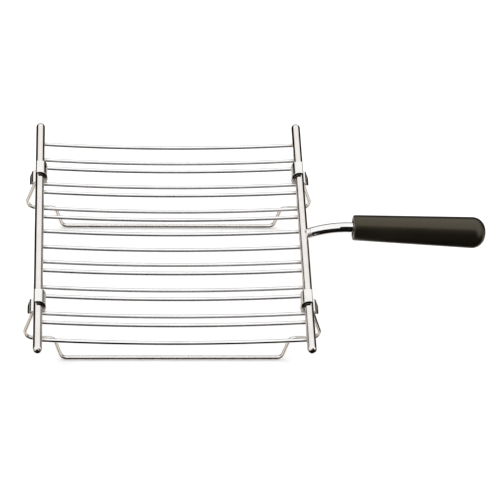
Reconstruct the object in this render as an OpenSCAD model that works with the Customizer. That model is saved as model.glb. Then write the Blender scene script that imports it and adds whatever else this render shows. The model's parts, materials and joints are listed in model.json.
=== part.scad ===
// Wire grill basket: a chrome wire deck on two folding wire feet, with a long side handle.
// Millimetres. +X points to the handle, +Y to the back, +Z up.
// The origin is on the ground, under the centre of the deck.

/* [Deck] */
// Distance between the centre lines of the two side rods
deck_w = 201.5; // [180:0.5:240]
// Length of each side rod, over its rounded ends
rod_len = 245.5; // [243:0.5:280]
// Diameter of the side rods
rod_d = 7; // [6.6:0.1:7.2]
// Diameter of the cross wires
wire_d = 3; // [2.6:0.1:3.2]
// How far a cross wire hangs below its ends at mid span
wire_sag = 3.7; // [2:0.1:6]
// Height of the side rods' centre lines above the ground
rod_z = 62.5; // [58:0.5:70]

/* [Cross wire spacing] */
// Distance of the two middle wires from the centre
middle_y = 8.4; // [7:0.1:9]
// Distance of the first pair's inner wire from the centre
first_pair_y = 24.3; // [22:0.1:25]
// Distance between the two wires of a pair
pair_gap = 9.1; // [8:0.1:9.3]
// Distance from one pair to the next
pair_step = 27; // [26.8:0.1:27.6]

/* [Clips] */
// Length of a clip along its rod
clip_len = 13.3; // [10:0.1:14]
// Thickness of the clip's arch and inner leg
clip_t = 2.3; // [1.8:0.1:2.5]
// Depth of the clip's legs below the rod's centre line
clip_drop = 10.4; // [10.2:0.1:11.2]

/* [Feet] */
// Diameter of the foot wires
foot_d = 3; // [2.6:0.1:3]
// Angle at which the standing feet lean away from each other
foot_lean = 2; // [0:0.5:6]
// Radial clearance of a foot wire in its clip hole
pin_play = 0.06; // [0.02:0.01:0.1]

/* [Handle] */
// Diameter of the handle rod
handle_d = 8; // [7.4:0.1:8.4]
// Slope at which the handle rod leaves the side rod
handle_rise = 22; // [18:1:28]
// Slope of the grip below the horizontal
grip_dip = 3.1; // [0:0.1:5]
// Radius of the bend in the handle rod
handle_bend = 71; // [60:1:90]
// Length of the grip
grip_len = 102.2; // [80:0.2:120]
// Diameter of the grip at its front end
grip_d1 = 19.4; // [16:0.1:20]
// Diameter of the grip next to its domed end
grip_d2 = 24; // [21:0.1:24]

/* [Hidden] */
$fn = 64;
rod_r = rod_d / 2;
wire_r = wire_d / 2;
foot_r = foot_d / 2;
handle_r = handle_d / 2;
half_w = deck_w / 2;

// The cross wires are welded to the undersides of the rods and stop just past their centre lines.
// The spacing is the same on both halves: one middle wire, three pairs and one end wire.
weld_bite = 0.15;
wire_overrun = 2.2;
wire_end_z = -(rod_r + wire_r - weld_bite);
wire_bow = (pow(half_w, 2) + pow(wire_sag, 2)) / (2 * wire_sag);
wire_reach = asin((half_w + wire_overrun) / wire_bow);
HALF_WIRES = 8;
function wire_step(i) =
    i == 0 ? middle_y : first_pair_y + floor((i - 1) / 2) * pair_step + (i - 1) % 2 * pair_gap;
function wire_y(n) =
    n > HALF_WIRES ? -wire_step(n - HALF_WIRES - 1) : wire_step(HALF_WIRES - n);

// A clip lies between the second and third pairs. Its section is drawn in (inboard, up): an arch
// over the rod, an inner leg with the pin's hole, and a thin web under the rod that ends in a lip.
clip_y = (wire_step(4) + wire_step(5)) / 2;
clip_top = rod_r + clip_t;
clip_hug = 115;
inner_leg_x = 4.3;
web_t = 1.2;
web_top = -5;
nose_x = -3.9;
nose_r = 2.6;
lip_x = -7.4;
pin_z = -8;

// One end of a foot wire, from the pin in the clip to the ground bar, as (outboard, up).
shoulder_z = -40;
bar_z = pin_z - (rod_z + pin_z - foot_r) / cos(foot_lean);
FOOT_END = [[-6, pin_z], [2.2, pin_z], [12.2, shoulder_z], [-11.4, shoulder_z], [-17.2, bar_z]];
FOOT_BENDS = [0, 2.2, 6, 5, 5];

// The handle rod leaves a short neck on the right side rod, bends once and runs into the grip.
neck_start = 2.2;
neck_end = 6.6;
bend_start = 7.4;
bend_trim = handle_bend * tan((handle_rise + grip_dip) / 2);
rise_dir = [cos(handle_rise), sin(handle_rise)];
dip_dir = [cos(grip_dip), -sin(grip_dip)];
handle_corner = (bend_start + bend_trim) * rise_dir;
grip_start = handle_corner + bend_trim * dip_dir;
socket_depth = 70;
socket_play = 0.02;
dome_r = 10.4;
dome_base = grip_len - dome_r;

CORNERS = ["back_left", "back_right", "front_left", "front_right"];
WIRE_NAMES = [for (n = [1:2 * HALF_WIRES]) str("cross_wire_", n < 10 ? "0" : "", n)];

// A round bar of diameter d along the points, with a round bend of the given radius at each corner.
// Each straight stops just short of its bend, inside a band that is a hair wider than the bar.
band_len = 0.3;
band_proud = 0.04;
band_gap = 0.08;
function heading(v) = atan2(v.y, v.x);
function unit(v) = v / norm(v);
function turn(u, v) = let (c = u.x * v.y - u.y * v.x) (c < 0 ? -1 : 1) * acos(min(1, u * v));
module bent_bar(points, bends, d) {
    last = len(points) - 1;
    runs = [for (i = [0:last - 1]) unit(points[i + 1] - points[i])];
    turns = [for (i = [0:last]) i == 0 || i == last ? 0 : turn(runs[i - 1], runs[i])];
    trims = [for (i = [0:last]) bends[i] * tan(abs(turns[i]) / 2)];
    for (i = [0:last - 1]) {
        from = i == 0 ? 0 : trims[i] + band_gap;
        to = norm(points[i + 1] - points[i]) - (i == last - 1 ? 0 : trims[i + 1] + band_gap);
        translate(points[i]) rotate([0, 90, heading(runs[i])]) {
            translate([0, 0, from]) cylinder(h = to - from, d = d);
            for (z = [from, to]) if (z > 0 && (i < last - 1 || z == from))
                translate([0, 0, z]) cylinder(h = band_len, d = d + 2 * band_proud, center = true);
        }
    }
    for (i = [1:last - 1])
        translate(points[i] + unit(runs[i] - runs[i - 1]) * bends[i] / cos(turns[i] / 2))
            rotate(heading(runs[i]) + (turns[i] > 0 ? -90 - turns[i] : 90))
                rotate_extrude(angle = abs(turns[i])) translate([bends[i], 0]) circle(d = d);
}

// Stands a drawing made in (across, up) on the XZ plane.
module upright() rotate([90, 0, 0]) children();

// A curved strip of sheet about the origin, between two angles at most 180 degrees apart.
module arc_strip(inner, outer, from, to) {
    far = 2 * outer;
    mid = (from + to) / 2;
    intersection() {
        difference() {
            circle(outer);
            circle(inner);
        }
        polygon([
            [0, 0], far * [cos(from), sin(from)], 2 * far * [cos(mid), sin(mid)], far * [cos(to), sin(to)]
        ]);
    }
}

module rod_bar() {
    straight = rod_len - rod_d;
    translate([0, 0, rod_z]) {
        rotate([90, 0, 0]) cylinder(h = straight, r = rod_r, center = true);
        for (side = [-1, 1]) translate([0, side * straight / 2, 0]) sphere(rod_r);
    }
}

module side_rod(side) color("gainsboro") translate([side * half_w, 0, 0]) rod_bar();

module cross_wire(n) {
    color("silver") difference() {
        translate([0, wire_y(n), rod_z + wire_end_z - wire_sag + wire_bow])
            upright() rotate(-90 - wire_reach)
                rotate_extrude(angle = 2 * wire_reach, $fn = 128) translate([wire_bow, 0]) circle(wire_r);
        for (side = [-1, 1]) translate([side * half_w, 0, 0]) rod_bar();
    }
}

// Each straight part of the section starts inside a curved one, a hair thinner than it.
module clip_section() {
    nose_z = web_top - nose_r;
    lap = 0.5;
    step = 0.06;
    arc_strip(rod_r, clip_top, 0, clip_hug);
    polygon([
        [clip_top - 2 * step, lap], [rod_r + step, lap],
        [inner_leg_x - clip_t / 2, -clip_drop], [inner_leg_x + clip_t / 2, -clip_drop]
    ]);
    translate([nose_x - lap, web_top - web_t + step]) square([rod_r + 2 * lap - nose_x, web_t - 2 * step]);
    translate([nose_x, nose_z]) arc_strip(nose_r - web_t, nose_r, 90, 180);
    polygon([
        [nose_x - nose_r + web_t - step, nose_z + lap], [nose_x - nose_r + 2 * step, nose_z + lap],
        [lip_x - web_t / 2, -clip_drop], [lip_x + web_t / 2, -clip_drop]
    ]);
}

module left_clip(end) {
    translate([-half_w, end * clip_y, rod_z]) difference() {
        upright() linear_extrude(clip_len, center = true) clip_section();
        rotate([90, 0, 0]) cylinder(h = 2 * clip_len, r = rod_r, center = true);
        translate([0, 0, pin_z]) rotate([0, 90, 0]) cylinder(h = 2 * clip_top, r = foot_r + pin_play);
    }
}

module foot_clip(side, end) color("lightgray") mirror([side > 0 ? 1 : 0, 0, 0]) left_clip(end);

module foot_wire(end) {
    right = [for (p = FOOT_END) [half_w + p.x, p.y]];
    left = [for (i = [len(right) - 1:-1:0]) [-right[i].x, right[i].y]];
    left_bends = [for (i = [len(FOOT_BENDS) - 1:-1:0]) FOOT_BENDS[i]];
    color("silver") translate([0, end * clip_y, rod_z + pin_z]) rotate([end * foot_lean, 0, 0])
        translate([0, 0, -pin_z]) upright() bent_bar(concat(right, left), concat(FOOT_BENDS, left_bends), foot_d);
}

module at_handle_root() translate([half_w, 0, rod_z]) children();

module handle_rod() {
    points = [neck_end * rise_dir, handle_corner, grip_start + socket_depth * dip_dir];
    color("gainsboro") at_handle_root() upright() bent_bar(points, [0, handle_bend, 0], handle_d);
}

module handle_collar() {
    neck_r = handle_r - 0.5;
    bead_d = 1.3;
    color("silver") difference() {
        at_handle_root() rotate([0, 90 - handle_rise, 0]) {
            translate([0, 0, neck_start]) cylinder(h = neck_end - neck_start, r = neck_r);
            for (z = [rod_r + 0.75, neck_end - 0.8]) translate([0, 0, z])
                rotate_extrude() translate([neck_r, 0]) circle(d = bead_d);
        }
        translate([half_w, 0, 0]) rod_bar();
    }
}

module on_grip_axis() {
    at_handle_root() translate([grip_start.x, 0, grip_start.y]) rotate([0, 90 + grip_dip, 0]) children();
}

module handle_grip() {
    mouth_r = 6.2;
    mouth_depth = 1.2;
    lip = 1;
    color([0.12, 0.1, 0.09]) on_grip_axis() difference() {
        rotate_extrude() {
            polygon([
                [0, 0], [grip_d1 / 2 - lip, 0], [grip_d1 / 2, lip], [grip_d2 / 2, dome_base],
                [grip_d2 / 2 - dome_r, grip_len], [0, grip_len]
            ]);
            intersection() {
                translate([grip_d2 / 2 - dome_r, dome_base]) circle(dome_r);
                square([grip_d2, grip_len]);
            }
        }
        translate([0, 0, -1]) cylinder(h = socket_depth + 1, r = handle_r + socket_play);
        translate([0, 0, -1]) cylinder(h = mouth_depth + 1, r = mouth_r);
    }
}

side_rod(-1);  // side_rod_left
side_rod(1);  // side_rod_right
for (n = [1:2 * HALF_WIRES]) cross_wire(n);
foot_clip(-1, 1);  // foot_clip_back_left
foot_clip(1, 1);  // foot_clip_back_right
foot_clip(-1, -1);  // foot_clip_front_left
foot_clip(1, -1);  // foot_clip_front_right
foot_wire(1);  // foot_wire_back
foot_wire(-1);  // foot_wire_front
handle_rod();
handle_collar();
handle_grip();
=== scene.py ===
"""A chrome wire grill basket on two folding wire feet, with a black grip on a long side handle.

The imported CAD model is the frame. Each piece below is the finished form of one CAD node, drawn in
metres in the same frame: +X to the handle, +Y to the back, +Z up, the origin on the ground.
"""

import json
import math

import bmesh
import bpy
import numpy as np
from mathutils import Matrix, Vector


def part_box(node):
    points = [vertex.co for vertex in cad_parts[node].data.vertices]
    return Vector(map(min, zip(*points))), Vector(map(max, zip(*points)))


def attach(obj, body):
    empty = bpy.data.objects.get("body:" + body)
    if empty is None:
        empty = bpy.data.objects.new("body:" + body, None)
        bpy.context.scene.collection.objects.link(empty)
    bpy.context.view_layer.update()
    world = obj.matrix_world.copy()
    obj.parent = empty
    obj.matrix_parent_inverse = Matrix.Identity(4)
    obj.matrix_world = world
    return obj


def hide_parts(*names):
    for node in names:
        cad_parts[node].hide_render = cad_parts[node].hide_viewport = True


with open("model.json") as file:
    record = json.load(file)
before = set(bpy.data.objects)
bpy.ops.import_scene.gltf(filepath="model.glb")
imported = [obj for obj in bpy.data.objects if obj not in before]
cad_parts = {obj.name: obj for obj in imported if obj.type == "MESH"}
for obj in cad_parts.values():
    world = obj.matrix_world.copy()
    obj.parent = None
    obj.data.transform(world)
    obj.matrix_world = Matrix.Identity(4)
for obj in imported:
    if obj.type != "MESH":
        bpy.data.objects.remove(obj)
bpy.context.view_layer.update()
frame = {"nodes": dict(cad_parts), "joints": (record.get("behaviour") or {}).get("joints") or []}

MM = 0.001
TAU = 2 * math.pi


# ---------------------------------------------------------------- sizes, from the frame
def middle_and_half(node):
    """The middle of a CAD node's box and half its size."""
    low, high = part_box(node)
    return (low + high) / 2, (high - low) / 2


ROD_MID, ROD_HALF = middle_and_half("side_rod_right")
ROD_X, ROD_Z, ROD_R, ROD_END = ROD_MID.x, ROD_MID.z, ROD_HALF.x, ROD_HALF.y

WIRES = [n for n in sorted(frame["nodes"]) if n.startswith("cross_wire")]
WIRE_HALF = middle_and_half(WIRES[0])[1]
WIRE_R = WIRE_HALF.y
WIRE_REACH = WIRE_HALF.x
WIRE_BITE = 0.15 * MM
WIRE_END_Z = ROD_Z - ROD_R - WIRE_R + WIRE_BITE
WIRE_SAG = WIRE_END_Z - WIRE_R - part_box(WIRES[0])[0].z
WIRE_BOW = (ROD_X**2 + WIRE_SAG**2) / (2 * WIRE_SAG)

CLIP_MID, CLIP_HALF = middle_and_half("foot_clip_back_right")
CLIP_Y, CLIP_LEN = CLIP_MID.y, 2 * CLIP_HALF.y
CLIP_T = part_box("foot_clip_back_right")[1].z - ROD_Z - ROD_R

FOOT_R = 1.5 * MM
FOOT_LEAN = math.radians(2)
PIN_Z = frame["joints"][0]["pos_m"][2]
PIN_DROP = ROD_Z - PIN_Z
PIN_TIP_X = -6 * MM
PIN_CORNER_X = 2.2 * MM
KNEE_X, SHOULDER_X, BAR_X = 12.2 * MM, -11.4 * MM, -17.2 * MM
KNEE_Z = -40 * MM
BAR_Z = -PIN_DROP - (PIN_Z - FOOT_R) / math.cos(FOOT_LEAN)

HANDLE_R = 4 * MM
HANDLE_RISE = math.radians(22)
GRIP_DIP = math.radians(3.1)
HANDLE_BEND = 71 * MM
NECK_START, NECK_END, BEND_START = 2.2 * MM, 6.6 * MM, 7.4 * MM
GRIP_LEN = 102.19 * MM
GRIP_R1, GRIP_R2 = 9.69 * MM, 11.98 * MM
DOME_R = 10.4 * MM
SOCKET_DEPTH = 70 * MM


# ---------------------------------------------------------------- mesh tools
def make_mesh(name, points, faces, material, smooth=True):
    """A new mesh object from points and faces."""
    mesh = bpy.data.meshes.new(name)
    mesh.from_pydata([tuple(p) for p in points], [], faces)
    mesh.update()
    mesh.polygons.foreach_set("use_smooth", [smooth] * len(mesh.polygons))
    mesh.materials.append(material)
    piece = bpy.data.objects.new(name, mesh)
    bpy.context.scene.collection.objects.link(piece)
    return piece


def swept(path, radii, sides=40):
    """Points and faces of a round bar along a path, closed to a point at both ends."""
    path = [Vector(p) for p in path]
    last = len(path) - 1
    heading = (path[1] - path[0]).normalized()
    across = heading.orthogonal().normalized()
    points, faces = [path[0].copy()], []
    for i, p in enumerate(path):
        ahead = (path[min(i + 1, last)] - path[max(i - 1, 0)]).normalized()
        across = heading.rotation_difference(ahead) @ across
        heading = ahead
        up = heading.cross(across)
        for k in range(sides):
            a = TAU * k / sides
            points.append(p + (math.cos(a) * across + math.sin(a) * up) * radii[i])
    points.append(path[-1].copy())
    for k in range(sides):
        n = (k + 1) % sides
        faces.append((0, 1 + n, 1 + k))
        for i in range(last):
            a, b = 1 + i * sides, 1 + (i + 1) * sides
            faces.append((a + k, a + n, b + n, b + k))
        base = 1 + last * sides
        faces.append((base + k, base + n, len(points) - 1))
    return points, faces


def rounded_ends(length, radius, edge, step):
    """Distances along a bar and its radius at each, with both ends rounded by an edge radius."""
    turn = [math.pi / 2 * k / 10 for k in range(11)]
    head = [(edge * (1 - math.cos(t)), radius - edge * (1 - math.sin(t))) for t in turn]
    count = max(2, int((length - 2 * edge) / step))
    body = [(edge + (length - 2 * edge) * k / count, radius) for k in range(1, count)]
    tail = [(length - s, r) for s, r in reversed(head)]
    return head + body + tail


def bent_path(corners, bends, step=1.2 * MM):
    """Points along a polyline whose corners are rounded by the given bend radii."""
    corners = [Vector(c) for c in corners]
    points = [corners[0]]
    for i in range(1, len(corners) - 1):
        before = (corners[i] - corners[i - 1]).normalized()
        after = (corners[i + 1] - corners[i]).normalized()
        angle = before.angle(after)
        trim = bends[i] * math.tan(angle / 2)
        start = corners[i] - trim * before
        inward = (after - before * before.dot(after)).normalized()
        centre = start + bends[i] * inward
        count = max(6, int(math.degrees(angle) / 5))
        points += [
            centre + bends[i] * (math.sin(a) * before - math.cos(a) * inward)
            for a in (angle * k / count for k in range(count + 1))
        ]
    points.append(corners[-1])
    filled = [points[0]]
    for a, b in zip(points, points[1:]):
        count = max(1, round((b - a).length / step))
        filled += [a + (b - a) * k / count for k in range(1, count + 1)]
    return filled


def along(path, distances):
    """The points at these distances along a path."""
    steps = [(b - a).length for a, b in zip(path, path[1:])]
    marks = np.concatenate([[0], np.cumsum(steps)])
    scaled = np.array(distances) * marks[-1] / distances[-1]
    table = np.array([tuple(p) for p in path])
    return [Vector([np.interp(s, marks, table[:, k]) for k in range(3)]) for s in scaled]


def path_length(path):
    """The length of a path."""
    return sum((b - a).length for a, b in zip(path, path[1:]))


def round_bar(path, radius, edge, step=1.0 * MM, sides=40):
    """Points and faces of a bar of one radius along a path, with rounded end edges."""
    profile = rounded_ends(path_length(path), radius, edge, step)
    return swept(along(path, [s for s, _ in profile]), [r for _, r in profile], sides)


def turned(profile, origin, axis, sides=72):
    """Points and faces of a turned shape: profile is (distance along the axis, radius) pairs."""
    origin, axis = Vector(origin), Vector(axis).normalized()
    across = axis.orthogonal().normalized()
    up = axis.cross(across)
    points, faces = [], []
    for s, r in profile:
        for k in range(sides):
            a = TAU * k / sides
            points.append(origin + axis * s + (math.cos(a) * across + math.sin(a) * up) * r)
    for i in range(len(profile) - 1):
        for k in range(sides):
            n = (k + 1) % sides
            a, b = i * sides, (i + 1) * sides
            faces.append((a + k, b + k, b + n, a + n))
    first = len(points)
    points += [origin + axis * profile[0][0], origin + axis * profile[-1][0]]
    base = (len(profile) - 1) * sides
    for k in range(sides):
        n = (k + 1) % sides
        faces.append((first, k, n))
        faces.append((first + 1, base + n, base + k))
    return points, faces


def joined(*shapes):
    """Several (points, faces) shapes as one."""
    points, faces = [], []
    for p, f in shapes:
        start = len(points)
        points += list(p)
        faces += [tuple(start + i for i in face) for face in f]
    return points, faces


def finish_piece(piece, body, slot, *nodes):
    """Puts a piece on its body and hides the CAD nodes it stands for. The slot is not used."""
    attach(piece, body)
    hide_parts(*nodes)


# ---------------------------------------------------------------- materials
def new_material(name):
    """A material with its node tree, its Principled shader and a position in object space."""
    material = bpy.data.materials.new(name)
    material.use_nodes = True
    nodes, links = material.node_tree.nodes, material.node_tree.links
    shader = nodes["Principled BSDF"]
    place = nodes.new("ShaderNodeTexCoord").outputs["Object"]
    return material, nodes, links, shader, place


def noise(nodes, links, place, per_metre, detail=3.0, stretch=(1, 1, 1)):
    """A noise pattern at this many features per metre, stretched along the axes where below 1."""
    mapping = nodes.new("ShaderNodeMapping")
    mapping.inputs["Scale"].default_value = [per_metre * s for s in stretch]
    links.new(place, mapping.inputs["Vector"])
    texture = nodes.new("ShaderNodeTexNoise")
    texture.inputs["Scale"].default_value = 1
    texture.inputs["Detail"].default_value = detail
    links.new(mapping.outputs["Vector"], texture.inputs["Vector"])
    return texture.outputs["Fac"]


def ramp(nodes, links, value, stops):
    """A colour ramp: stops are (position, colour) pairs."""
    node = nodes.new("ShaderNodeValToRGB")
    band = node.color_ramp
    while len(band.elements) < len(stops):
        band.elements.new(0.5)
    for element, (position, colour) in zip(band.elements, stops):
        element.position = position
        element.color = (*colour, 1)
    links.new(value, node.inputs["Fac"])
    return node.outputs["Color"]


def spread(nodes, links, value, low, high, from_low=0.3, from_high=0.7):
    """A value remapped to run from low to high."""
    node = nodes.new("ShaderNodeMapRange")
    for socket, number in zip(node.inputs[1:5], (from_low, from_high, low, high)):
        socket.default_value = number
    links.new(value, node.inputs["Value"])
    return node.outputs["Result"]


def mixed(nodes, links, factor, a, b, mode="MIX"):
    """Two colours mixed by a factor, which is a number or another node's output."""
    node = nodes.new("ShaderNodeMix")
    node.data_type, node.blend_type = "RGBA", mode
    if isinstance(factor, (int, float)):
        node.inputs["Factor"].default_value = factor
    else:
        links.new(factor, node.inputs["Factor"])
    for socket, colour in ((node.inputs[6], a), (node.inputs[7], b)):
        if isinstance(colour, tuple):
            socket.default_value = (*colour, 1)
        else:
            links.new(colour, socket)
    return node.outputs[2]


def math_node(nodes, links, operation, *values):
    """The result of a Math node: each value is a number or another node's output."""
    node = nodes.new("ShaderNodeMath")
    node.operation = operation
    for socket, value in zip(node.inputs, values):
        if isinstance(value, (int, float)):
            socket.default_value = value
        else:
            links.new(value, socket)
    return node.outputs[0]


def split_vector(nodes, links, vector):
    """The X, Y and Z outputs of a vector."""
    node = nodes.new("ShaderNodeSeparateXYZ")
    links.new(vector, node.inputs["Vector"])
    return node.outputs["X"], node.outputs["Y"], node.outputs["Z"]


def bumps(nodes, links, shader, layers):
    """A chain of bumps on the shader: layers are (height, depth in metres) pairs."""
    normal = None
    for height, depth in layers:
        node = nodes.new("ShaderNodeBump")
        node.inputs["Strength"].default_value = 1
        node.inputs["Distance"].default_value = depth
        links.new(height, node.inputs["Height"])
        if normal:
            links.new(normal, node.inputs["Normal"])
        normal = node.outputs["Normal"]
    links.new(normal, shader.inputs["Normal"])


SAWN_ROUGHNESS = 0.45


def chrome(name, tone, drawn, gloss, waviness, tint_near_rods=False, painted_dark_ends=False):
    """Bright plate: faint drawing lines along the bar, cloudy polish and fine pits.

    It can be tinted darker and warmer near the rods, and its sawn end faces can be rougher, with a
    painted dark reflection on them above the rods' centres.
    """
    material, nodes, links, shader, place = new_material(name)
    shader.inputs["Metallic"].default_value = 1
    clouds = noise(nodes, links, place, 60, 4)
    pits = noise(nodes, links, place, 2600, 2)
    lines = noise(nodes, links, place, 3800, 2, drawn)
    waves = noise(nodes, links, place, 110, 2)
    dull = tuple(0.93 * c for c in tone)
    colour = ramp(nodes, links, clouds, [(0.35, dull), (0.65, tone)])
    speck = ramp(nodes, links, pits, [(0.27, (0.55, 0.5, 0.46)), (0.33, (1, 1, 1))])
    colour = mixed(nodes, links, 1, colour, speck, "MULTIPLY")
    roughness = spread(nodes, links, clouds, *gloss)
    x, _, z = split_vector(nodes, links, place)
    if tint_near_rods:
        # The wire is tinted darker and warmer from 7 mm to 3 mm inboard of each rod's centre, and stays
        # so under the rod.
        outward = math_node(nodes, links, "ABSOLUTE", x)
        rod_closeness = spread(nodes, links, outward, 0, 0.75, ROD_X - 7 * MM, ROD_X - 3 * MM)
        colour = mixed(nodes, links, rod_closeness, colour, (0.62, 0.55, 0.47))
    if painted_dark_ends:
        # Painted dark reflection: end faces that face along the rod, above the rods' centres, are painted
        # near black. The same faces are also made rougher.
        normal = nodes.new("ShaderNodeNewGeometry").outputs["True Normal"]
        lengthways = math_node(nodes, links, "ABSOLUTE", split_vector(nodes, links, normal)[1])
        sawn_and_painted_dark = spread(nodes, links, lengthways, 0, 1, 0.55, 0.9)
        high = spread(nodes, links, z, 0, 1, ROD_Z - 3 * MM, ROD_Z)
        dark = math_node(nodes, links, "MULTIPLY", sawn_and_painted_dark, high)
        # The near-black colour of the painted dark reflection on the end faces.
        colour = mixed(nodes, links, dark, colour, (0.02, 0.017, 0.015))
        roughness = math_node(nodes, links, "MULTIPLY_ADD", sawn_and_painted_dark, SAWN_ROUGHNESS, roughness)
    links.new(roughness, shader.inputs["Roughness"])
    links.new(colour, shader.inputs["Base Color"])
    bumps(nodes, links, shader, [(waves, waviness), (lines, 0.0012 * MM), (pits, 0.0006 * MM)])
    return material


def satin_plastic(name):
    """Moulded near-black plastic: fine matte grain and faint flow clouding."""
    material, nodes, links, shader, place = new_material(name)
    grain = noise(nodes, links, place, 2300, 3)
    coarse = noise(nodes, links, place, 900, 2)
    clouds = noise(nodes, links, place, 45, 3, (0.5, 1, 1))
    colour = ramp(nodes, links, clouds, [(0.3, (0.004, 0.003, 0.002)), (0.7, (0.007, 0.006, 0.004))])
    links.new(colour, shader.inputs["Base Color"])
    shader.inputs["IOR"].default_value = 1.5
    shader.inputs["Specular IOR Level"].default_value = 0.85
    shader.inputs["Specular Tint"].default_value = (1, 0.88, 0.64, 1)
    links.new(spread(nodes, links, clouds, 0.3, 0.36), shader.inputs["Roughness"])
    bumps(nodes, links, shader, [(coarse, 0.012 * MM), (grain, 0.008 * MM)])
    return material


ROD_CHROME = chrome("rod_chrome", (0.85, 0.82, 0.8), (1, 0.01, 1), (0.05, 0.09), 0.004 * MM)
# The wires are tinted darker and warmer near the rods.
WIRE_CHROME = chrome(
    "wire_chrome", (0.95, 0.95, 0.95), (0.01, 1, 1), (0.05, 0.1), 0.002 * MM, tint_near_rods=True
)
FOOT_CHROME = chrome("foot_chrome", (0.97, 0.95, 0.93), (0.3, 0.3, 0.3), (0.2, 0.28), 0.002 * MM)
HANDLE_CHROME = chrome("handle_chrome", (0.93, 0.93, 0.93), (0.01, 1, 1), (0.04, 0.07), 0.003 * MM)
# The clip steel carries a painted dark reflection on its end faces.
CLIP_STEEL = chrome(
    "clip_steel", (0.9, 0.89, 0.87), (1, 1, 0.02), (0.08, 0.14), 0.006 * MM, painted_dark_ends=True
)
GRIP_PLASTIC = satin_plastic("grip_plastic")


# ---------------------------------------------------------------- the deck
def side_rod(side, name, node):
    """One side rod, a straight bar with domed ends."""
    path = [Vector((side * ROD_X, y, ROD_Z)) for y in (-ROD_END, ROD_END)]
    points, faces = round_bar(path, ROD_R, 0.96 * ROD_R, 2 * MM, 64)
    finish_piece(make_mesh(name, points, faces, ROD_CHROME), "deck", "rod_chrome", node)


def nugget(centre, size, seed):
    """A weld bead: a slightly uneven flattened ball."""
    rings, sides = 12, 24
    profile = []
    for i in range(1, rings):
        a = math.pi * i / rings
        profile.append((-math.cos(a), math.sin(a)))
    points, faces = turned(profile, (0, 0, 0), (0, 0, 1), sides)
    lumps = np.random.default_rng(seed).uniform(0.92, 1.06, len(points))
    points = [
        Vector(centre) + Vector([p[k] * size[k] * lump for k in range(3)])
        for p, lump in zip(points, lumps)
    ]
    return points, faces


def wire_height(x):
    """Height of a cross wire's centre line at x."""
    return WIRE_END_Z - WIRE_SAG + WIRE_BOW - math.sqrt(WIRE_BOW**2 - x**2)


def cross_wire(node, number):
    """One sagging cross wire with its two weld beads under the rods."""
    middle, _ = middle_and_half(node)
    reach = WIRE_REACH - 0.1 * MM
    path = [Vector((x, middle.y, wire_height(x))) for x in np.linspace(-reach, reach, 121)]
    wire = round_bar(path, WIRE_R, 0.5 * MM, 1.6 * MM, 32)
    contact = ROD_Z - ROD_R - WIRE_BITE
    beads = [
        nugget((side * ROD_X, middle.y, contact), (1.9 * MM, 1.85 * MM, 0.75 * MM), 2 * number + k)
        for k, side in enumerate((-1, 1))
    ]
    points, faces = joined(wire, *beads)
    piece = make_mesh(node.replace("cross_wire", "wire"), points, faces, WIRE_CHROME)
    finish_piece(piece, "deck", "wire_chrome", node)


side_rod(-1, "rod_left", "side_rod_left")
side_rod(1, "rod_right", "side_rod_right")
for i, wire_node in enumerate(WIRES):
    cross_wire(wire_node, i)


# ---------------------------------------------------------------- the clips
CLIP_DROP = ROD_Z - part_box("foot_clip_back_right")[0].z
ARCH_END = 115
INNER_LEG_X = 4.3 * MM
WEB_T, WEB_TOP = 1.2 * MM, -5 * MM
NOSE_X, NOSE_R = -3.9 * MM, 2.6 * MM
LIP_X = -7.4 * MM
LEG_CORNER = 4 * MM
CLIP_EDGE = 0.35 * MM
PIN_PLAY, DRILL_REACH, DRILL_X = 0.06 * MM, 4 * MM, 5 * MM


def arc(centre, radius, start, end, steps):
    """Points on an arc in a clip's section, angles in degrees."""
    return [
        Vector(centre) + Vector((math.cos(a), math.sin(a))) * radius
        for a in np.radians(np.linspace(start, end, steps))
    ]


def straight(a, b, steps):
    """Points between two points of a clip's section, without the first."""
    return [a + (b - a) * (k / steps) for k in range(1, steps + 1)]


def arch_outline(trim):
    """Arch over the rod and inner leg, (inboard, up) from the rod's centre, leg cut by trim."""
    outer_r = ROD_R + CLIP_T
    low = -CLIP_DROP + trim
    lean = (INNER_LEG_X - (ROD_R + CLIP_T / 2)) / CLIP_DROP
    outer_foot = Vector((outer_r - lean * low, low))
    inner_foot = Vector((ROD_R - lean * low, low))
    ring = arc((0, 0), outer_r, ARCH_END, 0, 28)
    bore = arc((0, 0), ROD_R, 0, ARCH_END, 24)
    down = straight(ring[-1], outer_foot, 12)
    across = straight(outer_foot, inner_foot, 4)
    up = straight(inner_foot, bore[0], 12)[:-1]
    tip = straight(bore[-1], ring[0], 4)[:-1]
    return ring + down + across + up + bore + tip


def web_outline(trim):
    """Web under the rod, rounded nose and outer lip, with the lip cut by trim."""
    nose = (NOSE_X, WEB_TOP - NOSE_R)
    low = -CLIP_DROP + trim
    start = Vector((ROD_R + 0.5 * MM, WEB_TOP))
    outside = arc(nose, NOSE_R, 90, 180, 14)
    inside = arc(nose, NOSE_R - WEB_T, 180, 90, 10)
    slope = (LIP_X + NOSE_R - WEB_T / 2 - NOSE_X) / (-CLIP_DROP - nose[1])
    out_foot = Vector((outside[-1].x + slope * (low - nose[1]), low))
    in_foot = Vector((inside[0].x + slope * (low - nose[1]), low))
    top = [start] + straight(start, outside[0], 8)[:-1]
    down = straight(outside[-1], out_foot, 6)
    across = straight(out_foot, in_foot, 3)
    up = straight(in_foot, inside[0], 6)[:-1]
    under = straight(inside[-1], start - Vector((0, WEB_T)), 8)
    return top + outside + down + across + up + inside + under


def inset_loop(loop, inset):
    """A closed outline moved inwards by inset."""
    moved = []
    turn = sum(a.x * b.y - b.x * a.y for a, b in zip(loop, loop[1:] + loop[:1]))
    side = 1 if turn > 0 else -1
    for i, p in enumerate(loop):
        before = (p - loop[i - 1]).normalized()
        after = (loop[(i + 1) % len(loop)] - p).normalized()
        normal = Vector((-before.y - after.y, before.x + after.x))
        length = max(normal.length, 0.6)
        moved.append(p + normal * (side * inset / length * 2 / max(length, 1.2)))
    return moved


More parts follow.
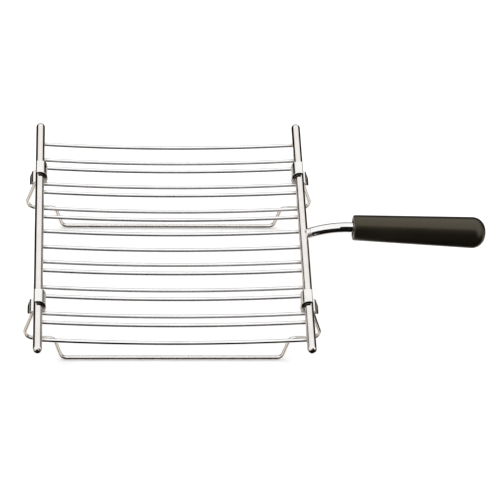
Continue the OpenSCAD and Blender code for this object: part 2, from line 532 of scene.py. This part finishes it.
def slab(outline, side, end):
    """Points and faces of a section drawn along the rod with rounded edges and leg corners."""
    half = CLIP_LEN / 2
    edge = [
        (CLIP_EDGE * (1 - math.cos(a)), CLIP_EDGE * (1 - math.sin(a)))
        for a in (math.pi / 2 * k / 4 for k in range(5))
    ]
    corner = [LEG_CORNER * (1 - math.cos(math.pi / 2 * k / 9)) for k in range(1, 10)]
    corner = [s for s in corner if s > CLIP_EDGE * 1.1]
    rows = edge + [(s, 0) for s in corner]
    rows += [(CLIP_LEN - s, inset) for s, inset in reversed(rows)]
    points = []
    for s, inset in rows:
        gap = max(0.0, LEG_CORNER - min(s, CLIP_LEN - s))
        trim = LEG_CORNER - math.sqrt(max(0.0, LEG_CORNER**2 - gap**2))
        for q in inset_loop(outline(trim), inset):
            points.append((side * (ROD_X - q.x), end * CLIP_Y + s - half, ROD_Z + q.y))
    count = len(points) // len(rows)
    faces = []
    for j in range(len(rows) - 1):
        for k in range(count):
            n = (k + 1) % count
            a, b = j * count, (j + 1) * count
            faces.append((a + k, a + n, b + n, b + k))
    faces.append(tuple(range(count))[::-1])
    faces.append(tuple(len(points) - count + k for k in range(count)))
    return points, faces


def clip(side, end, name, node):
    """One clip: the arch and leg with the pin's hole, and the web with its lip."""
    parts = [
        make_mesh(f"{name}.part", *slab(outline, side, end), CLIP_STEEL)
        for outline in (arch_outline, web_outline)
    ]
    for part in parts:
        face_outwards(part)
    hole = [(s, FOOT_R + PIN_PLAY) for s in (-DRILL_REACH, DRILL_REACH)]
    place = (side * (ROD_X - DRILL_X), end * CLIP_Y, PIN_Z)
    drill = make_mesh("drill", *turned(hole, place, (1, 0, 0), 48), CLIP_STEEL)
    face_outwards(drill)
    piece, web = parts
    piece.name = name
    for tool, action in ((web, "UNION"), (drill, "DIFFERENCE")):
        cut = piece.modifiers.new(action.lower(), "BOOLEAN")
        cut.object, cut.operation, cut.solver = tool, action, "EXACT"
    settle(piece)
    for tool in (web, drill):
        bpy.data.objects.remove(tool)
    piece.data.set_sharp_from_angle(angle=math.radians(38))
    finish_piece(piece, "deck", "clip_steel", node)


def face_outwards(piece):
    """Turns every face of a closed mesh outwards."""
    shape = bmesh.new()
    shape.from_mesh(piece.data)
    bmesh.ops.recalc_face_normals(shape, faces=shape.faces)
    shape.to_mesh(piece.data)
    shape.free()


def settle(piece):
    """Makes the result of a piece's modifiers its own mesh."""
    bpy.context.view_layer.update()
    done = piece.evaluated_get(bpy.context.evaluated_depsgraph_get())
    mesh = bpy.data.meshes.new_from_object(done)
    piece.modifiers.clear()
    piece.data = mesh


for end_name, end in (("back", 1), ("front", -1)):
    for side_name, side in (("left", -1), ("right", 1)):
        corner = f"{end_name}_{side_name}"
        clip(side, end, f"clip_{corner}", f"foot_clip_{corner}")


# ---------------------------------------------------------------- the feet
def foot(end, name, node, body):
    """One foot wire, leaning out about its pins."""
    right = [
        (PIN_TIP_X, -PIN_DROP), (PIN_CORNER_X, -PIN_DROP), (KNEE_X, KNEE_Z),
        (SHOULDER_X, KNEE_Z), (BAR_X, BAR_Z),
    ]
    bends = [0, 2.2 * MM, 6 * MM, 5 * MM, 5 * MM]
    flat = [(ROD_X + x, z) for x, z in right] + [(-ROD_X - x, z) for x, z in reversed(right)]
    path = bent_path([Vector((x, 0, z + PIN_DROP)) for x, z in flat], bends + bends[::-1])
    lean = Matrix.Rotation(end * FOOT_LEAN, 3, "X")
    pivot = Vector((0, end * CLIP_Y, PIN_Z))
    path = [pivot + lean @ p for p in path]
    points, faces = round_bar(path, FOOT_R, 0.4 * MM, 0.6 * MM, 32)
    finish_piece(make_mesh(name, points, faces, FOOT_CHROME), body, "foot_chrome", node)


foot(1, "foot_back", "foot_wire_back", "foot_back")
foot(-1, "foot_front", "foot_wire_front", "foot_front")

# ---------------------------------------------------------------- the handle
ROOT = Vector((ROD_X, 0, ROD_Z))
RISE = Vector((math.cos(HANDLE_RISE), 0, math.sin(HANDLE_RISE)))
DIP = Vector((math.cos(GRIP_DIP), 0, -math.sin(GRIP_DIP)))
BEND_TRIM = HANDLE_BEND * math.tan((HANDLE_RISE + GRIP_DIP) / 2)
HANDLE_CORNER = ROOT + (BEND_START + BEND_TRIM) * RISE
GRIP_START = HANDLE_CORNER + BEND_TRIM * DIP


def handle_rod():
    """The rod that rises from the neck, bends once and runs into the grip."""
    corners = [ROOT + NECK_END * RISE, HANDLE_CORNER, GRIP_START + SOCKET_DEPTH * DIP]
    path = bent_path(corners, [0, HANDLE_BEND, 0])
    points, faces = round_bar(path, HANDLE_R, 0.6 * MM, 0.8 * MM, 64)
    finish_piece(
        make_mesh("handle_bar", points, faces, HANDLE_CHROME), "deck", "rod_chrome", "handle_rod"
    )


def bead_profile(centre, radius, bead_r):
    """A half-round bead on a turned neck."""
    return [
        (centre - bead_r * math.cos(a), radius + bead_r * math.sin(a))
        for a in np.radians(np.linspace(15, 165, 13))
    ]


def collar():
    """The neck between the side rod and the handle rod, with two upset beads."""
    neck_r = HANDLE_R - 0.5 * MM
    profile = [(NECK_START, neck_r)]
    profile += bead_profile(ROD_R + 0.75 * MM, neck_r, 0.62 * MM)
    profile += bead_profile(NECK_END - 0.8 * MM, neck_r, 0.62 * MM)
    profile += [(NECK_END, neck_r)]
    points, faces = turned(profile, ROOT, RISE, 64)
    finish_piece(
        make_mesh("handle_neck", points, faces, HANDLE_CHROME), "deck", "rod_chrome", "handle_collar"
    )


def grip():
    """The moulded grip: rolled front lip, recess round the rod, slow taper and domed end."""
    mouth_r, mouth_depth, lip = 6.2 * MM, 1.2 * MM, 1.1 * MM
    dome_base = GRIP_LEN - DOME_R
    flat_r = GRIP_R2 - DOME_R
    profile = [(20 * MM, HANDLE_R + 0.02 * MM), (mouth_depth + 0.5 * MM, HANDLE_R + 0.02 * MM)]
    profile += [
        (mouth_depth + 0.1 * MM, HANDLE_R + 0.4 * MM), (mouth_depth, HANDLE_R + 0.9 * MM),
        (mouth_depth, mouth_r - 0.5 * MM), (mouth_depth - 0.1 * MM, mouth_r - 0.1 * MM),
        (mouth_depth - 0.5 * MM, mouth_r), (0.4 * MM, mouth_r), (0.1 * MM, mouth_r + 0.12 * MM),
        (0, mouth_r + 0.4 * MM),
    ]
    profile += [
        (lip - lip * math.cos(a), GRIP_R1 - lip + lip * math.sin(a))
        for a in np.radians(np.linspace(0, 88, 10))
    ]
    profile += [
        (s, GRIP_R1 + (GRIP_R2 - GRIP_R1) * s / dome_base)
        for s in np.linspace(lip + 2 * MM, dome_base, 60)
    ]
    profile += [
        (dome_base + DOME_R * math.sin(a), flat_r + DOME_R * math.cos(a))
        for a in np.radians(np.linspace(4, 90, 24))
    ]
    profile += [
        (GRIP_LEN, flat_r * 0.8), (GRIP_LEN - 0.12 * MM, flat_r * 0.6), (GRIP_LEN - 0.15 * MM, 0.05 * MM),
    ]
    points, faces = turned(profile, GRIP_START, DIP, 96)
    finish_piece(make_mesh("grip", points, faces, GRIP_PLASTIC), "deck", "grip_plastic", "handle_grip")


handle_rod()
collar()
grip()


# ---------------------------------------------------------------- studio
def studio_floor():
    """A plain pale floor that takes the soft shadows."""
    reach, steps = 3.0, 12
    row = steps + 1
    side = np.linspace(-reach, reach, row)
    points = [(x, y, 0) for y in side for x in side]
    faces = [
        (k, k + 1, k + row + 1, k + row)
        for k in (j * row + i for j in range(steps) for i in range(steps))
    ]
    material, nodes, links, shader, place = new_material("floor_paper")
    tone = noise(nodes, links, place, 40, 2)
    paper = ramp(nodes, links, tone, [(0.3, (0.93, 0.93, 0.93)), (0.7, (0.95, 0.95, 0.95))])
    links.new(paper, shader.inputs["Base Color"])
    shader.inputs["Roughness"].default_value = 0.9
    shader.inputs["Specular IOR Level"].default_value = 0
    floor = make_mesh("floor", points, faces, material, smooth=False)
    floor.visible_glossy = False


def flag(name, corners):
    """A black studio flag that only reflections see."""
    material, nodes, links, shader, place = new_material(name)
    tone = noise(nodes, links, place, 20, 2)
    black = ramp(nodes, links, tone, [(0.3, (0.002, 0.002, 0.002)), (0.7, (0.004, 0.004, 0.004))])
    links.new(black, shader.inputs["Base Color"])
    shader.inputs["Roughness"].default_value = 1
    shader.inputs["Specular IOR Level"].default_value = 0
    card = make_mesh(name, corners, [(0, 1, 2, 3)], material, smooth=False)
    card.visible_camera = card.visible_diffuse = card.visible_shadow = card.visible_transmission = False


def rectangle(x0, y0, x1, y1, z):
    """The corners of a level rectangle."""
    return [(x0, y0, z), (x1, y0, z), (x1, y1, z), (x0, y1, z)]


def smooth_band(nodes, links, value, stops):
    """A value from 0 to 1 along a ramp over the range -1 to 1."""
    shifted = spread(nodes, links, value, 0, 1, -1, 1)
    return ramp(nodes, links, shifted, [((p + 1) / 2, (v, v, v)) for p, v in stops])


GAP_COLOUR = (0.01, 0.008, 0.006)


def studio_world():
    """Soft white light all round; reflections see a pale tent with dark gaps in front and behind."""
    world = bpy.data.worlds.new("studio")
    bpy.context.scene.world = world
    world.use_nodes = True
    nodes, links = world.node_tree.nodes, world.node_tree.links
    soft = nodes["Background"]
    soft.inputs["Color"].default_value = (1, 1, 1, 1)
    soft.inputs["Strength"].default_value = 1.2
    _, y, up = split_vector(nodes, links, nodes.new("ShaderNodeTexCoord").outputs["Generated"])
    forward = math_node(nodes, links, "MULTIPLY", y, -1)
    steepness = math_node(nodes, links, "MULTIPLY", up, up)
    level = math_node(nodes, links, "SQRT", math_node(nodes, links, "SUBTRACT", 1.0001, steepness))
    facing = math_node(nodes, links, "DIVIDE", forward, level)
    tent = ramp(
        nodes, links, spread(nodes, links, up, 0, 1, -1, 1),
        [
            ((z + 1) / 2, c)
            for z, c in (
                (-1, (0.95, 0.92, 0.88)), (-0.68, (0.86, 0.79, 0.72)), (-0.35, (0.55, 0.51, 0.47)),
                (0.05, (0.38, 0.36, 0.34)), (0.22, (0.85, 0.83, 0.8)), (0.55, (1, 0.99, 0.98)),
                (1, (1, 1, 1)),
            )
        ],
    )
    gaps = (  # each dark where it faces forward by this much and points up by this much
        (
            [(-1, 1), (-0.5, 1), (-0.3, 0), (1, 0)],
            [(-1, 0), (-0.64, 0), (-0.5, 1), (0.24, 1), (0.34, 0), (1, 0)],
        ),
        (
            [(-1, 0), (0.8, 0), (0.9, 1), (1, 1)],
            [(-1, 0), (-0.6, 0), (-0.5, 1), (0.6, 1), (0.68, 0), (1, 0)],
        ),
        (
            [(-1, 0), (0.95, 0), (0.98, 1), (1, 1)],
            [(-1, 1), (-0.5, 1), (-0.4, 0), (1, 0)],
        ),
    )
    seen = tent
    for across, upright in gaps:
        by_heading = smooth_band(nodes, links, facing, across)
        by_height = smooth_band(nodes, links, up, upright)
        dark = math_node(nodes, links, "MULTIPLY", by_heading, by_height)
        seen = mixed(nodes, links, dark, seen, GAP_COLOUR)
    mirror = nodes.new("ShaderNodeBackground")
    links.new(seen, mirror.inputs["Color"])
    mirror.inputs["Strength"].default_value = 1.08
    ray = nodes.new("ShaderNodeLightPath")
    pick = nodes.new("ShaderNodeMixShader")
    links.new(ray.outputs["Is Glossy Ray"], pick.inputs[0])
    links.new(soft.outputs[0], pick.inputs[1])
    links.new(mirror.outputs[0], pick.inputs[2])
    links.new(pick.outputs[0], nodes["World Output"].inputs["Surface"])


def softbox(name, place, aim, size, power):
    """A large soft lamp that reflections don't see."""
    light = bpy.data.lights.new(name, "AREA")
    light.shape, light.size, light.energy = "DISK", size, power
    lamp = bpy.data.objects.new(name, light)
    lamp.location = place
    lamp.rotation_euler = (Vector(aim) - Vector(place)).to_track_quat("-Z", "Y").to_euler()
    lamp.visible_glossy = False
    bpy.context.scene.collection.objects.link(lamp)


def add_camera():
    """The camera: a long lens in front and a little to the left, looking down 45 degrees, rolled."""
    elevation, azimuth, roll = (math.radians(a) for a in (45, -4.74, 3.48))
    distance, lens = 2.252, 212.8
    back = Vector((
        math.sin(azimuth) * math.cos(elevation), -math.cos(azimuth) * math.cos(elevation),
        math.sin(elevation),
    ))
    level = Vector((math.cos(azimuth), math.sin(azimuth), 0))
    above = back.cross(level)
    right = math.cos(roll) * level + math.sin(roll) * above
    upward = math.cos(roll) * above - math.sin(roll) * level
    aim = Vector((0, 0, ROD_Z)) + 0.0597 * right - 0.0118 * upward
    data = bpy.data.cameras.new("camera")
    data.lens, data.sensor_width = lens, 36
    data.clip_end = 20
    camera = bpy.data.objects.new("camera", data)
    turn = Matrix((right, upward, back)).transposed().to_4x4()
    camera.matrix_world = Matrix.Translation(aim + distance * back) @ turn
    bpy.context.scene.collection.objects.link(camera)
    bpy.context.scene.camera = camera


studio_floor()
FLAG_Z = 1 * MM
flag("flag_front", rectangle(-0.3, -0.9, 0.3, -0.135, FLAG_Z))
flag("flag_right", rectangle(0.15, -0.8, 0.7, 0, FLAG_Z))
flag("flag_handle", [(0.12, -0.35, 0), (0.6, -0.35, 0), (0.6, -0.35, 0.8), (0.12, -0.35, 0.8)])
studio_world()
softbox("key", (-0.5, 0.6, 1.6), (0, 0, 0), 1.2, 8)
add_camera()
bpy.context.scene.view_settings.view_transform = "Standard"
